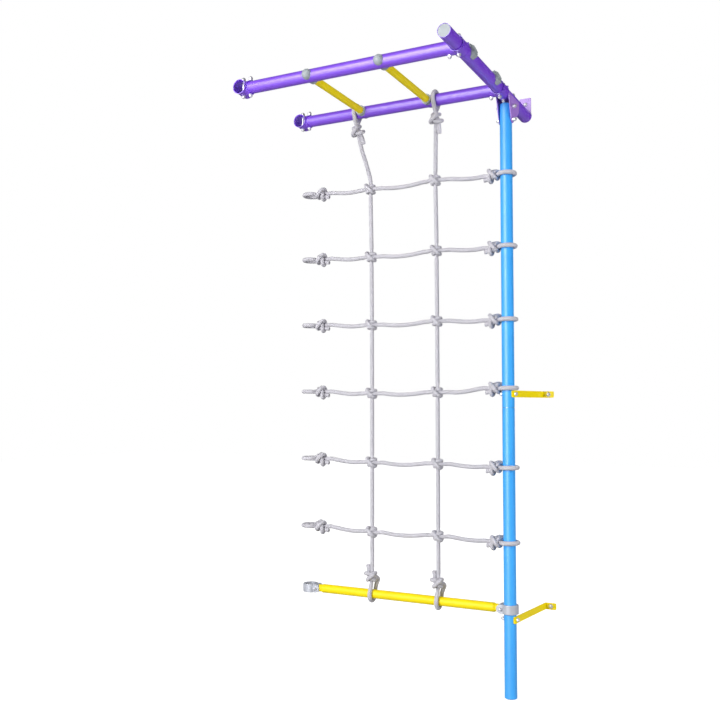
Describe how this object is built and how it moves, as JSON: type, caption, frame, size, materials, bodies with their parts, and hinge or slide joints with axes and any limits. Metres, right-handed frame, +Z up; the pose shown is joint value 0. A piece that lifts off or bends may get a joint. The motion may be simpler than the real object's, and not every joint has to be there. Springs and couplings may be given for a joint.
{
  "type": "cargo climbing net",
  "caption": "Wall-fixed side frame of powder-coated tube with a knotted rope climbing net, added beside a home climbing ladder.",
  "frame": {"origin": "centre of the post's foot cap on the floor", "axes": "+X away from the climbing ladder, +Y towards the wall, +Z up"},
  "size_m": [0.97, 0.93, 2.2685],
  "materials": {
    "blue_paint": "gloss powder coat",
    "bolt_chrome": "polished",
    "clamp_metal": "cast, satin",
    "dark_plastic": "satin",
    "grey_plastic": "satin",
    "net_rope": "braided cord",
    "purple_light_paint": "gloss powder coat",
    "purple_paint": "gloss powder coat",
    "screw_steel": "plated",
    "yellow_paint": "gloss powder coat"
  },
  "bodies": {
    "frame": {"arm_end_cap": "grey_plastic", "arm_hole_plugs": "grey_plastic", "bar_clamp_bolts": "bolt_chrome", "bar_clamp_left_back": "clamp_metal", "bar_clamp_left_front": "clamp_metal", "bar_clamp_nuts": "bolt_chrome", "bar_clamp_right_back": "clamp_metal", "bar_clamp_right_front": "clamp_metal", "bottom_bar": "yellow_paint", "bottom_ties": "net_rope", "bracket_cheek_left": "purple_light_paint", "bracket_cheek_right": "purple_light_paint", "bracket_saddle": "purple_paint", "clamp_bolts": "bolt_chrome", "clamp_nuts": "bolt_chrome", "clamp_set_screws": "purple_paint", "front_cross_tube": "purple_paint", "front_left_clamp_lower": "purple_paint", "front_left_clamp_upper": "purple_paint", "front_right_clamp_lower": "purple_paint", "front_right_clamp_upper": "purple_paint", "left_row_ties": "net_rope", "lower_wall_strap": "yellow_paint", "post_bolts": "bolt_chrome", "post_foot_cap": "blue_paint", "post_joint_sleeve": "screw_steel", "post_lower_tube": "blue_paint", "post_nuts": "bolt_chrome", "post_upper_tube": "blue_paint", "rear_cross_tube": "purple_paint", "rear_left_clamp_lower": "purple_paint", "rear_left_clamp_upper": "purple_paint", "rear_right_clamp_lower": "purple_paint", "rear_right_clamp_upper": "purple_paint", "right_row_ties": "net_rope", "rung_collars": "grey_plastic", "rung_end_inserts": "dark_plastic", "rung_left": "yellow_paint", "rung_right": "yellow_paint", "rung_screw_caps": "grey_plastic", "rung_screws": "screw_steel", "saddle_bolts": "bolt_chrome", "saddle_nuts": "bolt_chrome", "side_arm": "purple_paint", "strap_bolts": "bolt_chrome", "strap_nuts": "bolt_chrome", "top_ties": "net_rope", "upper_wall_strap": "yellow_paint", "wall_plate": "purple_light_paint", "wall_screws": "bolt_chrome"},
    "net": {"vertical_rope_left": "net_rope", "vertical_rope_right": "net_rope", "row_rope_1": "net_rope", "row_rope_2": "net_rope", "row_rope_3": "net_rope", "row_rope_4": "net_rope", "row_rope_5": "net_rope", "row_rope_6": "net_rope"}
  },
  "joints": [
    {"name": "net_give", "type": "slide", "parent": "frame", "child": "net", "axis": [0, 1, 0], "range_m": [-0.06, 0.06], "stiffness_N_per_m": 400}
  ]
}
